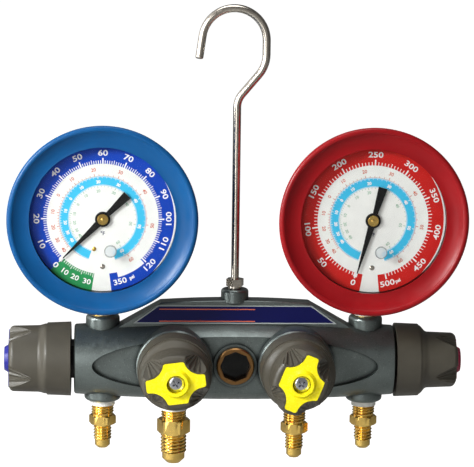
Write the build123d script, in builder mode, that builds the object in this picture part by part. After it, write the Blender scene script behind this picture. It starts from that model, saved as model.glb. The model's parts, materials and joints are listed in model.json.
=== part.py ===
"""Four-valve refrigerant manifold with a suction and a discharge gauge, hung from a hook.

Frame: +Z up, the gauges face -Y, and X runs along the manifold from the suction side (-X)
to the discharge side (+X). The origin is the inside top of the hook's bow, where the bar
that carries the set bears. Millimetres.
"""

from build123d import *
from dataclasses import dataclass
from math import asin, atan, cos, degrees, pi, radians, sin, sqrt, tan
import os

os.makedirs("parts", exist_ok=True)

# ---------------------------------------------------------------- fits
running_fit = 0.05  # radial gap round a shaft that turns or slides
thread_fit = 0.05  # radial gap of threads, which are drawn as plain cylinders
laid_fit = 0.10  # gap round a piece that is laid or pressed into a recess
face_play = 0.10  # end play of a piece held between two faces
break_through = 1.0  # how far one drilling runs into the next
thread_runout = 1.0  # depth of a tapped hole past the end of its screw

# ---------------------------------------------------------------- manifold casting
hang_height = 209.6  # inside top of the hook's bow down to the barrel's axis
barrel_half = 96.3
barrel_end_radius = 21.0
barrel_mid_radius = 24.3
barrel_rim = 0.8

recess_half_length = 85.5
recess_half_height = 17.5
recess_floor = 17.0  # how far ahead of the axis the floor lies

front_boss_radius = 22.8
front_boss_face = 26.5
front_boss_rim = 1.2

bracket_foot_half = 71.5
bracket_foot_height = 20.0
bracket_top_half = 44.4
bracket_top_height = 35.8
bracket_crown = 1.5
bracket_foot_depth = 8.5  # each side of the barrel's axis
bracket_top_depth = 6.5
bracket_edge = 1.2

label_foot_half = 61.5
label_foot_height = 23.4
label_top_half = 46.0
label_top_height = 34.4
label_thickness = 0.6
label_pocket = 0.4

gauge_inset = 17.0  # gauge and end-port axes, in from the barrel's ends
gauge_spacing = barrel_half - gauge_inset
gauge_boss_radius = 10.2
gauge_boss_height = 27.5
end_port_boss_radius = 11.0
middle_port_boss_radius = 11.8
port_boss_drop = 25.0
boss_edge = 2.2

middle_spacing = 36.4  # front valves and middle ports, each side of the middle
middle_port_depth = 12.0  # how far ahead of the axis the middle ports hang

gallery_radius = 3.0
passage_radius = 2.4

# ---------------------------------------------------------------- sight glass
sight_boss_radius = 13.0
sight_boss_face = 19.0
retainer_radius = 11.2
retainer_face = 21.5
retainer_length = 6.0
retainer_socket = 17.0  # across the flats of its eight-sided socket
retainer_rim = 0.7
glass_radius = 10.4
glass_thickness = 4.0
gasket_thickness = 1.2
gasket_bore = 7.8
sight_chamber_radius = 7.4

# ---------------------------------------------------------------- hose ports
quarter_flare = dict(thread=11.11, hex=14.29, neck=13.7, bore=4.8, nose=9.2)
three_eighths_flare = dict(thread=15.88, hex=17.46, neck=15.3, bore=7.1, nose=13.6)
port_seal_height = 3.0
port_seal_wall = 0.5
port_thread_engagement = 9.0
port_hex_turn = 8.0
port_lead = 0.6  # chamfer that starts the pipe thread
port_lip = 0.6  # flat left round the bore at the flare's end
thread_relief = 0.9  # how deep the groove behind the flare's thread is

# ---------------------------------------------------------------- valves
end_chamber_depth = 34.0
front_chamber_depth = 22.0
chamber_radius = 6.5
seat_play = 0.1

bonnet_thread_radius = 9.0
bonnet_plug_length = 11.5
bonnet_hex = 20.6
bonnet_hex_height = 5.0
body_seal_height = 2.0
body_seal_wall = 1.9
stem_seal_height = 3.0
stem_seal_wall = 1.9

stem_radius = 4.76
stem_square = 7.0
stem_square_rounding = 0.8
stem_button_radius = 2.6
stem_button_height = 1.7
stem_neck_radius = 1.6
stem_neck_length = 2.3

piston_radius = 5.0
piston_length = 6.0
piston_lip = 1.2
piston_nose = 0.8

closed_gap = 1.0  # knob's back to the casting when the valve is shut
knob_length = 37.0
collar_back_radius = 22.35
collar_front_radius = 21.8
collar_length = 14.2
collar_shoulder = 0.6  # step from the collar to the foot of the grip
shoulder_length = 5.5
shoulder_sections = 4
grip_arm = 20.2  # half width along the narrow arms
grip_arm_front = 19.8
grip_side = 17.0  # half width along the wide lobes
grip_side_front = 16.3
grip_rounding = 3.0
scoop_angle = 41.0  # from the narrow arms
scoop_distance = 21.0
scoop_radius = 9.3
scoop_length = 16.0
scoop_tip = 1.2
knob_hollow_radius = 14.5
knob_hollow_depth = 16.0

cap_arm = 17.3
cap_side = 12.2
cap_wall = 0.7  # plastic left between a scoop and the cap
cap_corner = 1.4
cap_seat = 34.0
stem_setback = 1.0  # end of the stem's square, behind the cap
cap_thickness = 3.4
cap_floor = 1.4
cap_ring_radius = 7.0
cap_ring_foot = 8.6
cap_ring_height = 2.6
cap_well_radius = 5.4

screw_head_radius = 5.0
screw_head_height = 2.5
screw_head_rounding = 1.1
screw_radius = 2.35
screw_length = 12.0

# ---------------------------------------------------------------- hook
rod_radius = 2.38
bow_radius = 19.1
bow_offset = 2.1  # bow's middle, to the left of the stem's axis
bow_side = 8.0
bend_radius = 12.0
bend_angle = 40.0
tip_length = 13.8
tip_lean = 8.0
hook_boss_radius = 8.3
hook_boss_height = 43.7
hook_boss_edge = 2.0
nut_neck_radius = 4.1
nut_neck_height = 1.5
nut_hex = 9.4
nut_turn = 12.0
nut_height = 4.3
hook_pocket_floor = 25.0
hook_pocket_height = 8.0
hook_pocket_width = 10.4
retainer_nut_hex = 8.0
retainer_nut_height = 4.0

# ---------------------------------------------------------------- gauges
gauge_height = 90.5  # dial centres above the barrel's axis
case_radius = 44.3
case_wall = 1.2
case_back = 8.8
case_front = 33.4
lens_thickness = 2.0
lens_bevel = 1.2
lens_rise = 0.6  # how far the face stands in the boot's opening
lens_plug_radius = 3.6
lens_plug_place = (4.7, -18.2)
lens_plug_height = 0.8
dial_clearance = 0.2  # dial's edge to the case
dial_radius = case_radius - case_wall - dial_clearance
dial_thickness = 0.6
dial_face = 30.5
dial_hole = 2.0

boot_wall = 4.2  # rubber outside the case
boot_flare = 7.2  # how far the rim stands out past the cup
boot_shelf = 1.45  # how far the boot's opening stands in over the lens
boot_cup_radius = case_radius + laid_fit + boot_wall
boot_rim_radius = boot_cup_radius + boot_flare
boot_rim_front = 40.3
boot_opening = case_radius - boot_shelf
boot_lip = 1.2
boot_bead = 1.8
boot_back = 2.2
boot_back_opening = 30.0
boot_flare_back = 12.0  # where the cup ends and the flare starts
boot_flare_sag = 2.0
boot_funnel_sag = 0.9
boot_edge_width = 4.0
boot_edge_draft = 0.4
boot_stem_gap = 1.0

gauge_stem_radius = 6.85
gauge_stem_depth = 12.0
gauge_square = 14.29
gauge_square_top = 40.0
gauge_square_bottom = 30.0
socket_half_width = 8.0
socket_inset = 2.3  # foot of the socket's block, in from the case's outside
socket_bottom = socket_inset - case_radius
socket_top = -24.5
socket_back = -6.0

plate_half_width = 12.0
plate_top = 9.0
plate_bottom = -29.0
plate_thickness = 1.0
back_plate = 18.0
front_plate = 26.0
pillar_radius = 1.2
pillar_x = 10.0
pillar_top = 6.0
pillar_bottom = -27.0

tube_radius = 30.0
tube_wall = 3.2
tube_width = 10.0
tube_middle = 10.0
tube_root_angle = 258.0
tube_tip_angle = -35.0
tip_block = (6.0, 4.6, 11.0)
tip_lug_radius = 1.6
tip_lug_front = 20.3

arbor_radius = 0.8
arbor_end = 0.4
gear_module = 0.35
pinion_teeth = 12
pinion_height = 3.0
sector_full_teeth = 108
sector_first_tooth = -12
sector_last_tooth = 2
sector_thickness = 1.0
sector_place = 22.6
sector_hub_radius = 2.6
sector_tail = 7.0
sector_tail_angle = -10.0
sector_tail_width = 3.2
tooth_addendum = 0.8
tooth_dedendum = 1.2
tooth_share = 0.40  # tooth thickness, as a share of the circular pitch
pressure_angle = 20.0

link_pin_radius = 0.6
link_width = 2.6
link_thickness = 0.8
link_place = 20.9

pointer_reach = 32.7
pointer_tail = 20.3
pointer_tail_width = 5.4
pointer_waist = 2.2
pointer_tip_width = 0.5
pointer_place = 31.7
pointer_thickness = 0.4
pointer_disc_radius = 4.5
pointer_bush_radius = 3.2
pointer_bush_height = 0.9

# ---------------------------------------------------------------- places
axis_z = -hang_height
gauge_z = axis_z + gauge_height


def save(builder, name):
    """Label a finished piece and write its file."""
    builder.part.label = name
    export_step(builder.part, f"parts/{name}.step")


def disc(frame, radius, bottom, top, mode=Mode.ADD):
    """A cylinder on the frame's axis, from one height along it to another."""
    with BuildSketch(frame.offset(bottom)) as circle:
        Circle(radius)
    extrude(circle.sketch, amount=top - bottom, mode=mode)


def turn(frame, outline, mode=Mode.ADD):
    """Revolve an outline of (radius, height) corners about the frame's axis."""
    radial = Plane(frame.origin, x_dir=frame.x_dir, z_dir=-frame.y_dir)
    with BuildSketch(radial) as section:
        with BuildLine():
            Polyline(*outline, close=True)
        make_face()
    revolve(section.sketch, axis=Axis(frame.origin, frame.z_dir), mode=mode)


def ring(frame, inner, outer, bottom, top):
    """A plain ring on the frame's axis."""
    turn(frame, [(inner, bottom), (outer, bottom), (outer, top), (inner, top)])


def boss(frame, radius, start, face, edge):
    """A round boss on the frame's axis, its outer edge rounded."""
    radial = Plane(frame.origin, x_dir=frame.x_dir, z_dir=-frame.y_dir)
    with BuildSketch(radial) as section:
        with BuildLine():
            side = Polyline((0, start), (radius, start), (radius, face - edge))
            middle = (radius - edge + edge * cos(pi / 4), face - edge + edge * sin(pi / 4))
            rounding = ThreePointArc(side @ 1, middle, (radius - edge, face))
            Polyline(rounding @ 1, (0, face), (0, start))
        make_face()
    revolve(section.sketch, axis=Axis(frame.origin, frame.z_dir))


def hexagon(frame, across_flats, bottom, top, turned=0.0):
    """A hexagonal prism on the frame's axis."""
    with BuildSketch(frame.offset(bottom)) as flats:
        RegularPolygon(across_flats / 2, 6, major_radius=False, rotation=turned)
    extrude(flats.sketch, amount=top - bottom)


def spun(frame, angle):
    """The frame turned about its own axis, counter-clockwise in degrees."""
    turn_by = radians(angle)
    arm = frame.x_dir * cos(turn_by) + frame.y_dir * sin(turn_by)
    return Plane(frame.origin, x_dir=arm, z_dir=frame.z_dir)


def upright(x, y, z, flip=False):
    """A frame on a vertical axis, pointing up, or down when flipped."""
    return Plane((x, y, z), x_dir=(1, 0, 0), z_dir=(0, 0, -1 if flip else 1))


# ---------------------------------------------------------------- the four valves
@dataclass
class Valve:
    name: str
    frame: Plane  # on the valve's axis at the casting's face, pointing out, x along the narrow arms
    chamber_depth: float
    opened: float  # how far the stem stands out from shut


# How each knob is turned, and how far each valve is open.
low_arm, high_arm = radians(22.0), radians(18.0)
vacuum_arm, charge_arm = radians(7.0), radians(68.0)
low_opened, high_opened, front_opened = 1.1, 0.0, 0.6
valves = [
    Valve(
        "low_side",
        Plane((-barrel_half, 0, axis_z), x_dir=(0, sin(low_arm), cos(low_arm)), z_dir=(-1, 0, 0)),
        end_chamber_depth,
        low_opened,
    ),
    Valve(
        "high_side",
        Plane((barrel_half, 0, axis_z), x_dir=(0, -cos(high_arm), sin(high_arm)), z_dir=(1, 0, 0)),
        end_chamber_depth,
        high_opened,
    ),
    Valve(
        "vacuum",
        Plane(
            (-middle_spacing, -front_boss_face, axis_z),
            x_dir=(cos(vacuum_arm), 0, sin(vacuum_arm)),
            z_dir=(0, -1, 0),
        ),
        front_chamber_depth,
        front_opened,
    ),
    Valve(
        "charge",
        Plane(
            (middle_spacing, -front_boss_face, axis_z),
            x_dir=(cos(charge_arm), 0, sin(charge_arm)),
            z_dir=(0, -1, 0),
        ),
        front_chamber_depth,
        front_opened,
    ),
]

# ---------------------------------------------------------------- the four hose ports
low_port_frame = upright(-gauge_spacing, 0, axis_z - port_boss_drop, flip=True)
high_port_frame = upright(gauge_spacing, 0, axis_z - port_boss_drop, flip=True)
vacuum_port_frame = upright(
    -middle_spacing, -middle_port_depth, axis_z - port_boss_drop, flip=True
)
charge_port_frame = upright(
    middle_spacing, -middle_port_depth, axis_z - port_boss_drop, flip=True
)
# Distances below the boss: both ends of the hexagon, both ends of the thread, and the nose.
ports = [
    ("low_side_port", low_port_frame, quarter_flare, (9.6, 15.1, 16.4, 24.7, 29.8)),
    ("vacuum_port", vacuum_port_frame, three_eighths_flare, (9.0, 17.5, 18.6, 29.5, 35.9)),
    ("charge_port", charge_port_frame, quarter_flare, (11.0, 17.0, 18.5, 27.3, 32.5)),
    ("high_side_port", high_port_frame, quarter_flare, (9.6, 15.1, 16.4, 24.7, 29.8)),
]

hook_frame = upright(0, 0, axis_z)
sight_frame = Plane((0, 0, axis_z), x_dir=(1, 0, 0), z_dir=(0, -1, 0))
gauge_frames = {
    "low": Plane((-gauge_spacing, 0, gauge_z), x_dir=(1, 0, 0), z_dir=(0, -1, 0)),
    "high": Plane((gauge_spacing, 0, gauge_z), x_dir=(1, 0, 0), z_dir=(0, -1, 0)),
}
zero_angles = {"low": -135.0, "high": -164.5}  # clockwise from the top of the dial

# The bracket's front face leans back a little; the label lies on it.
bracket_rise = bracket_top_height - bracket_foot_height
lean = atan((bracket_foot_depth - bracket_top_depth) / bracket_rise)
label_frame = Plane(
    (0, -bracket_foot_depth, axis_z + bracket_foot_height),
    x_dir=(1, 0, 0),
    z_dir=(0, -cos(lean), sin(lean)),
)


# Corners of the label on the bracket's face, measured up the slope.
label_foot = (label_foot_height - bracket_foot_height) / cos(lean)
label_top = (label_top_height - bracket_foot_height) / cos(lean)
label_corners = [
    (-label_foot_half, label_foot),
    (label_foot_half, label_foot),
    (label_top_half, label_top),
    (-label_top_half, label_top),
]


# ================================================================ manifold casting
with BuildPart() as bracket:
    with BuildSketch(Plane.XZ) as front_view:
        with BuildLine():
            foot, top = axis_z + bracket_foot_height, axis_z + bracket_top_height
            sunk = foot - barrel_end_radius / 2
            crown = ThreePointArc(
                (-bracket_top_half, top), (0, top + bracket_crown), (bracket_top_half, top)
            )
            Polyline(
                crown @ 1,
                (bracket_foot_half, foot),
                (bracket_foot_half, sunk),
                (-bracket_foot_half, sunk),
                (-bracket_foot_half, foot),
                crown @ 0,
            )
        make_face()
    extrude(amount=bracket_foot_depth, both=True)
    with BuildSketch(Plane.YZ) as side_view:
        with BuildLine():
            summit = top + 2 * bracket_crown
            summit_depth = bracket_top_depth - (summit - top) * tan(lean)
            Polyline(
                (-bracket_foot_depth, sunk),
                (-bracket_foot_depth, foot),
                (-summit_depth, summit),
                (summit_depth, summit),
                (bracket_foot_depth, foot),
                (bracket_foot_depth, sunk),
                close=True,
            )
        make_face()
    extrude(amount=bracket_foot_half, both=True, mode=Mode.INTERSECT)
    fillet(bracket.faces().sort_by(Axis.Z)[-1].edges(), bracket_edge)

with BuildPart() as manifold_body:
    with BuildSketch(Plane.XZ) as barrel_section:
        with BuildLine():
            belly = ThreePointArc(
                (-barrel_half, axis_z + barrel_end_radius),
                (0, axis_z + barrel_mid_radius),
                (barrel_half, axis_z + barrel_end_radius),
            )
            Polyline(belly @ 1, (barrel_half, axis_z), (-barrel_half, axis_z), belly @ 0)
        make_face()
    revolve(axis=Axis((0, 0, axis_z), (1, 0, 0)))
    chamfer(manifold_body.edges().filter_by(GeomType.CIRCLE).filter_by(Plane.YZ), barrel_rim)
    add(bracket.part)

    with BuildSketch(Plane.XZ.offset(recess_floor)) as recess:
        with Locations((0, axis_z)):
            Ellipse(recess_half_length, recess_half_height)
    extrude(recess.sketch, amount=barrel_mid_radius, mode=Mode.SUBTRACT)

    for valve in valves[2:]:
        turn(
            valve.frame,
            [
                (0, -front_boss_face),
                (front_boss_radius, -front_boss_face),
                (front_boss_radius, -front_boss_rim),
                (front_boss_radius - front_boss_rim, 0),
                (0, 0),
            ],
        )
    disc(sight_frame, sight_boss_radius, 0, sight_boss_face)

    for side in (-1, 1):
        gauge_foot = upright(side * gauge_spacing, 0, axis_z)
        boss(gauge_foot, gauge_boss_radius, barrel_end_radius / 2, gauge_boss_height, boss_edge)
    for name, frame, flare, heights in ports:
        in_front = frame.origin.Y < 0
        radius = middle_port_boss_radius if in_front else end_port_boss_radius
        boss(frame, radius, -port_boss_drop / 2, 0, boss_edge)
    boss(hook_frame, hook_boss_radius, bracket_top_height, hook_boss_height, hook_boss_edge)

    # Drillings: a gallery from seat to seat, a chamber and a bonnet thread for each valve.
    gallery = Plane((0, 0, axis_z), x_dir=(0, 1, 0), z_dir=(1, 0, 0))
    gallery_half = barrel_half - end_chamber_depth + break_through
    disc(gallery, gallery_radius, -gallery_half, gallery_half, Mode.SUBTRACT)
    for valve in valves:
        seat = -valve.chamber_depth
        step = -bonnet_plug_length - body_seal_height
        disc(valve.frame, chamber_radius, seat, 0, Mode.SUBTRACT)
        disc(valve.frame, bonnet_thread_radius, step, 0, Mode.SUBTRACT)
    for valve in valves[2:]:
        meets_gallery = break_through - valve.chamber_depth
        disc(valve.frame, gallery_radius, -front_boss_face, meets_gallery, Mode.SUBTRACT)
    for name, frame, flare, heights in ports:
        hole = flare["neck"] / 2 + thread_fit
        meets_chamber = chamber_radius - break_through - port_boss_drop
        disc(frame, hole, -port_thread_engagement - thread_runout, 0, Mode.SUBTRACT)
        disc(frame, passage_radius, meets_chamber, 0, Mode.SUBTRACT)
    for side in (-1, 1):
        gauge_foot = upright(side * gauge_spacing, 0, axis_z)
        hole = gauge_stem_radius + thread_fit
        meets_chamber = chamber_radius - break_through
        disc(gauge_foot, hole, gauge_stem_depth - thread_runout, gauge_boss_height, Mode.SUBTRACT)
        disc(gauge_foot, passage_radius, meets_chamber, gauge_boss_height, Mode.SUBTRACT)

    # Sight glass: thread for the retainer, seat for glass and gasket, chamber behind.
    glass_front = retainer_face - retainer_length
    gasket_back = glass_front - glass_thickness - gasket_thickness
    disc(sight_frame, retainer_radius + thread_fit, glass_front, sight_boss_face, Mode.SUBTRACT)
    disc(sight_frame, glass_radius + laid_fit, gasket_back, glass_front, Mode.SUBTRACT)
    disc(sight_frame, sight_chamber_radius, -gallery_radius, gasket_back, Mode.SUBTRACT)

    # Hook: a plain bore through its boss into a pocket that opens to the rear.
    pocket_top = hook_pocket_floor + hook_pocket_height
    disc(hook_frame, rod_radius + running_fit, pocket_top, hook_boss_height, Mode.SUBTRACT)
    pocket_middle = axis_z + hook_pocket_floor + hook_pocket_height / 2
    with BuildSketch(Plane.XZ.offset(hook_pocket_width / 2)) as pocket:
        with Locations((0, pocket_middle)):
            Rectangle(hook_pocket_width, hook_pocket_height)
    extrude(pocket.sketch, amount=-2 * bracket_foot_depth, mode=Mode.SUBTRACT)

    with BuildSketch(label_frame.offset(-label_pocket)) as label_pocket_outline:
        with BuildLine():
            Polyline(*label_corners, close=True)
        make_face()
        offset(amount=laid_fit, kind=Kind.INTERSECTION)
    extrude(label_pocket_outline.sketch, amount=2 * label_pocket, mode=Mode.SUBTRACT)
save(manifold_body, "manifold_body")

with BuildPart() as label_plate:
    with BuildSketch(label_frame.offset(-label_pocket)):
        with BuildLine():
            Polyline(*label_corners, close=True)
        make_face()
    extrude(amount=label_thickness)
save(label_plate, "label_plate")

# ================================================================ sight glass
with BuildPart() as sight_glass_retainer:
    turn(
        sight_frame,
        [
            (0, glass_front),
            (retainer_radius, glass_front),
            (retainer_radius, retainer_face - retainer_rim),
            (retainer_radius - retainer_rim, retainer_face),
            (0, retainer_face),
        ],
    )
    with BuildSketch(sight_frame.offset(glass_front)):
        RegularPolygon(retainer_socket / 2, 8, major_radius=False, rotation=90)
    extrude(amount=retainer_length, mode=Mode.SUBTRACT)
save(sight_glass_retainer, "sight_glass_retainer")

with BuildPart() as sight_glass:
    disc(sight_frame, glass_radius, glass_front - glass_thickness, glass_front)
save(sight_glass, "sight_glass")

with BuildPart() as sight_glass_gasket:
    ring(sight_frame, gasket_bore, glass_radius, gasket_back, gasket_back + gasket_thickness)
save(sight_glass_gasket, "sight_glass_gasket")

# ================================================================ hose ports
for name, frame, flare, (hex_back, hex_front, thread_back, thread_front, end) in ports:
    neck, thread, nose = flare["neck"] / 2, flare["thread"] / 2, flare["nose"] / 2
    bore = flare["bore"] / 2
    groove = thread - thread_relief
    cone_back = end - (nose - bore - port_lip)
    with BuildPart() as port:
        turn(
            frame,
            [
                (0, -port_thread_engagement),
                (neck - port_lead, -port_thread_engagement),
                (neck, port_lead - port_thread_engagement),
                (neck, hex_back),
                (groove, hex_back),
                (groove, thread_back),
                (thread, thread_back),
                (thread, thread_front),
                (nose, thread_front),
                (nose, cone_back),
                (bore + port_lip, end),
                (0, end),
            ],
        )
        hexagon(frame, flare["hex"], hex_back, hex_front, port_hex_turn)
        disc(frame, bore, -port_thread_engagement, end, Mode.SUBTRACT)
    save(port, name)

with BuildPart() as port_seals:
    for name, frame, flare, heights in ports:
        inner = flare["neck"] / 2 + thread_fit
        ring(frame, inner, inner + port_seal_wall, 0, port_seal_height)
save(port_seals, "port_seals")

# ================================================================ valves
with BuildPart() as bonnet_seals:
    for valve in valves:
        step = -bonnet_plug_length - body_seal_height
        outer = bonnet_thread_radius - laid_fit
        ring(valve.frame, outer - body_seal_wall, outer, step, -bonnet_plug_length - face_play)
        inner = stem_radius + running_fit
        ring(
            valve.frame,
            inner,
            inner + stem_seal_wall,
            -bonnet_plug_length,
            stem_seal_height - bonnet_plug_length - face_play,
        )
save(bonnet_seals, "bonnet_seals")

for valve in valves:
    frame = valve.frame
    with BuildPart() as bonnet:
        disc(frame, bonnet_thread_radius - thread_fit, -bonnet_plug_length, 0)
        hexagon(frame, bonnet_hex, 0, bonnet_hex_height)
        disc(frame, stem_radius + running_fit, -bonnet_plug_length, bonnet_hex_height, Mode.SUBTRACT)
        disc(
            frame,
            stem_radius + running_fit + stem_seal_wall + laid_fit,
            -bonnet_plug_length,
            stem_seal_height - bonnet_plug_length,
            Mode.SUBTRACT,
        )
    save(bonnet, f"{valve.name}_bonnet")

    # What moves in and out with the stem is measured from the piston's nose or the knob's back.
    nose = frame.offset(valve.opened + seat_play - valve.chamber_depth)
    knob_frame = frame.offset(valve.opened + closed_gap)
    nose_to_knob = valve.chamber_depth - seat_play + closed_gap
    button_back = piston_length - piston_lip - face_play
    button_front = button_back - stem_button_height

    with BuildPart() as piston:
        turn(
            nose,
            [
                (0, 0),
                (piston_radius - piston_nose, 0),
                (piston_radius, piston_nose),
                (piston_radius, piston_length),
                (stem_neck_radius + face_play, piston_length),
                (stem_neck_radius + face_play, piston_length - piston_lip),
                (stem_button_radius + face_play, piston_length - piston_lip),
                (stem_button_radius + face_play, button_front - face_play),
                (0, button_front - face_play),
            ],
        )
    save(piston, f"{valve.name}_piston")

    stem_start = button_back + stem_neck_length
    shoulder = nose_to_knob + knob_hollow_depth
    stem_end = nose_to_knob + cap_seat - stem_setback
    with BuildPart() as stem:
        disc(nose, stem_button_radius, button_front, button_back)
        disc(nose, stem_neck_radius, button_back, stem_start)
        disc(nose, stem_radius, stem_start, shoulder)
        with BuildSketch(nose.offset(shoulder)) as square:
            RectangleRounded(stem_square, stem_square, stem_square_rounding)
        extrude(square.sketch, amount=stem_end - shoulder)
        disc(nose, screw_radius + thread_fit, stem_end - screw_length, stem_end, Mode.SUBTRACT)
    save(stem, f"{valve.name}_stem")

    scoops = [
        (scoop_distance * cos(radians(a)), scoop_distance * sin(radians(a)))
        for a in (scoop_angle, 180 - scoop_angle, 180 + scoop_angle, -scoop_angle)
    ]
    with BuildSketch(knob_frame.offset(cap_seat)) as cap_outline:
        Rectangle(2 * cap_arm, 2 * cap_side)
        with Locations(*scoops):
            Circle(scoop_radius + cap_wall, mode=Mode.SUBTRACT)
        fillet(cap_outline.vertices(), cap_corner)

    shoulder_radius = collar_front_radius - collar_shoulder
    with BuildPart() as knob:
        turn(
            knob_frame,
            [
                (0, 0),
                (collar_back_radius, 0),
                (collar_front_radius, collar_length),
                (0, collar_length),
            ],
        )
        sections = []
        for step in range(shoulder_sections + 1):
            share = step / shoulder_sections
            narrowed = (1 - cos(pi * share)) / 2
            arm = shoulder_radius + (grip_arm - shoulder_radius) * narrowed
            side = shoulder_radius + (grip_side - shoulder_radius) * narrowed
            height = collar_length + shoulder_length * share
            with BuildSketch(knob_frame.offset(height)) as shoulder_section:
                Ellipse(arm, side)
            sections.append(shoulder_section.sketch)
        loft(sections)
        with BuildSketch(knob_frame.offset(knob_length)) as front_section:
            Ellipse(grip_arm_front, grip_side_front)
        loft([sections[-1], front_section.sketch])
        front_edge = knob.faces().sort_by_distance(knob_frame.offset(knob_length).origin)[0].edges()
        fillet(front_edge, grip_rounding)
        for x, y in scoops:
            place = Plane(
                knob_frame.offset(knob_length - scoop_length).from_local_coords((x, y, 0)),
                x_dir=knob_frame.x_dir,
                z_dir=knob_frame.z_dir,
            )
            turn(
                place,
                [(0, 0), (scoop_tip, 0), (scoop_radius, scoop_length), (0, scoop_length)],
                Mode.SUBTRACT,
            )
        disc(knob_frame, knob_hollow_radius, 0, knob_hollow_depth, Mode.SUBTRACT)
        with BuildSketch(knob_frame.offset(knob_hollow_depth)) as square_hole:
            side = stem_square + 2 * laid_fit
            RectangleRounded(side, side, stem_square_rounding)
        extrude(square_hole.sketch, amount=knob_length, mode=Mode.SUBTRACT)
        with BuildSketch(knob_frame.offset(cap_seat)) as cap_recess:
            add(cap_outline.sketch_local)
            offset(amount=laid_fit)
        extrude(cap_recess.sketch, amount=knob_length, mode=Mode.SUBTRACT)
    save(knob, f"{valve.name}_knob")

    cap_top = cap_seat + cap_thickness
    with BuildPart() as cap:
        extrude(cap_outline.sketch, amount=cap_thickness)
        turn(
            knob_frame,
            [
                (0, cap_seat),
                (cap_ring_foot, cap_seat),
                (cap_ring_foot, cap_top),
                (cap_ring_radius, cap_top + cap_ring_height),
                (0, cap_top + cap_ring_height),
            ],
        )
        disc(
            knob_frame,
            cap_well_radius,
            cap_seat + cap_floor,
            cap_top + cap_ring_height,
            Mode.SUBTRACT,
        )
        disc(knob_frame, screw_radius + laid_fit, cap_seat, cap_top, Mode.SUBTRACT)
    save(cap, f"{valve.name}_cap")

    seat = cap_seat + cap_floor
    with BuildPart() as screw:
        disc(knob_frame, screw_head_radius, seat, seat + screw_head_height)
        crown_place = knob_frame.offset(seat + screw_head_height).origin
        fillet(screw.faces().sort_by_distance(crown_place)[0].edges(), screw_head_rounding)
        disc(knob_frame, screw_radius, seat - screw_length, seat)
    save(screw, f"{valve.name}_screw")

# ================================================================ hook
bow_z = rod_radius - bow_radius
turned = radians(bend_angle)
run = (
    bow_radius * cos(turned) - bow_offset - bend_radius * (1 - cos(turned))
) / sin(turned)
bend_z = bow_z - bow_side - (bow_radius + bend_radius) * sin(turned) - run * cos(turned)
rod_foot = axis_z + hook_pocket_floor + (hook_pocket_height - retainer_nut_height) / 2

with BuildPart() as hook:
    with BuildLine(Plane.XZ) as path:
        stem_line = Line((0, rod_foot), (0, bend_z))
        bend = JernArc(stem_line @ 1, (0, 1), bend_radius, -bend_angle)
        slope = Line(bend @ 1, bend @ 1 + (bend % 1) * run)
        flank = JernArc(slope @ 1, slope % 1, bow_radius, bend_angle)
        side = Line(flank @ 1, flank @ 1 + (flank % 1) * bow_side)
        bow = JernArc(side @ 1, side % 1, bow_radius, 180 - tip_lean)
        tip = Line(bow @ 1, bow @ 1 + (bow % 1) * tip_length)
    with BuildSketch(Plane.XY.offset(rod_foot)):
        Circle(rod_radius)
    sweep()
    fillet(hook.faces().sort_by_distance(tip @ 1)[0].edges(), rod_radius / 2)
save(hook, "hook")

with BuildPart() as hook_nut:
    nut_foot = hook_boss_height + face_play
    nut_back = nut_foot + nut_neck_height
    disc(hook_frame, nut_neck_radius, nut_foot, nut_back)
    hexagon(hook_frame, nut_hex, nut_back, nut_back + nut_height, nut_turn)
    disc(hook_frame, rod_radius, nut_foot, nut_back + nut_height, Mode.SUBTRACT)
save(hook_nut, "hook_nut")

with BuildPart() as hook_retainer_nut:
    retainer_top = hook_pocket_floor + hook_pocket_height - face_play
    hexagon(hook_frame, retainer_nut_hex, retainer_top - retainer_nut_height, retainer_top)
    disc(hook_frame, rod_radius, retainer_top - retainer_nut_height, retainer_top, Mode.SUBTRACT)
save(hook_retainer_nut, "hook_retainer_nut")


# ================================================================ gauges
def gear_corners(teeth, full_teeth, outward):
    """Corners of straight-flanked teeth, listed by tooth number, about the gear's centre."""
    pitch_radius = gear_module * full_teeth / 2
    root = pitch_radius - tooth_dedendum * gear_module
    crest = pitch_radius + tooth_addendum * gear_module
    half = tooth_share * pi * gear_module / 2
    flank = sin(radians(pressure_angle)) / cos(radians(pressure_angle))
    root_half = (half + tooth_dedendum * gear_module * flank) / root
    crest_half = (half - tooth_addendum * gear_module * flank) / crest
    corners = []
    for tooth in teeth:
        middle = outward + tooth * 2 * pi / full_teeth
        for radius, angle in (
            (root, -root_half),
            (crest, -crest_half),
            (crest, crest_half),
            (root, root_half),
        ):
            corners.append((radius * cos(middle + angle), radius * sin(middle + angle)))
    return corners


gear_distance = gear_module * (pinion_teeth + sector_full_teeth) / 2
pointer_front = pointer_place + pointer_thickness
tail_angle = radians(sector_tail_angle)
tail_pin = (sector_tail * cos(tail_angle), sector_tail * sin(tail_angle) - gear_distance)
tube_tip = (
    tube_radius * cos(radians(tube_tip_angle)),
    tube_radius * sin(radians(tube_tip_angle)),
)

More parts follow.
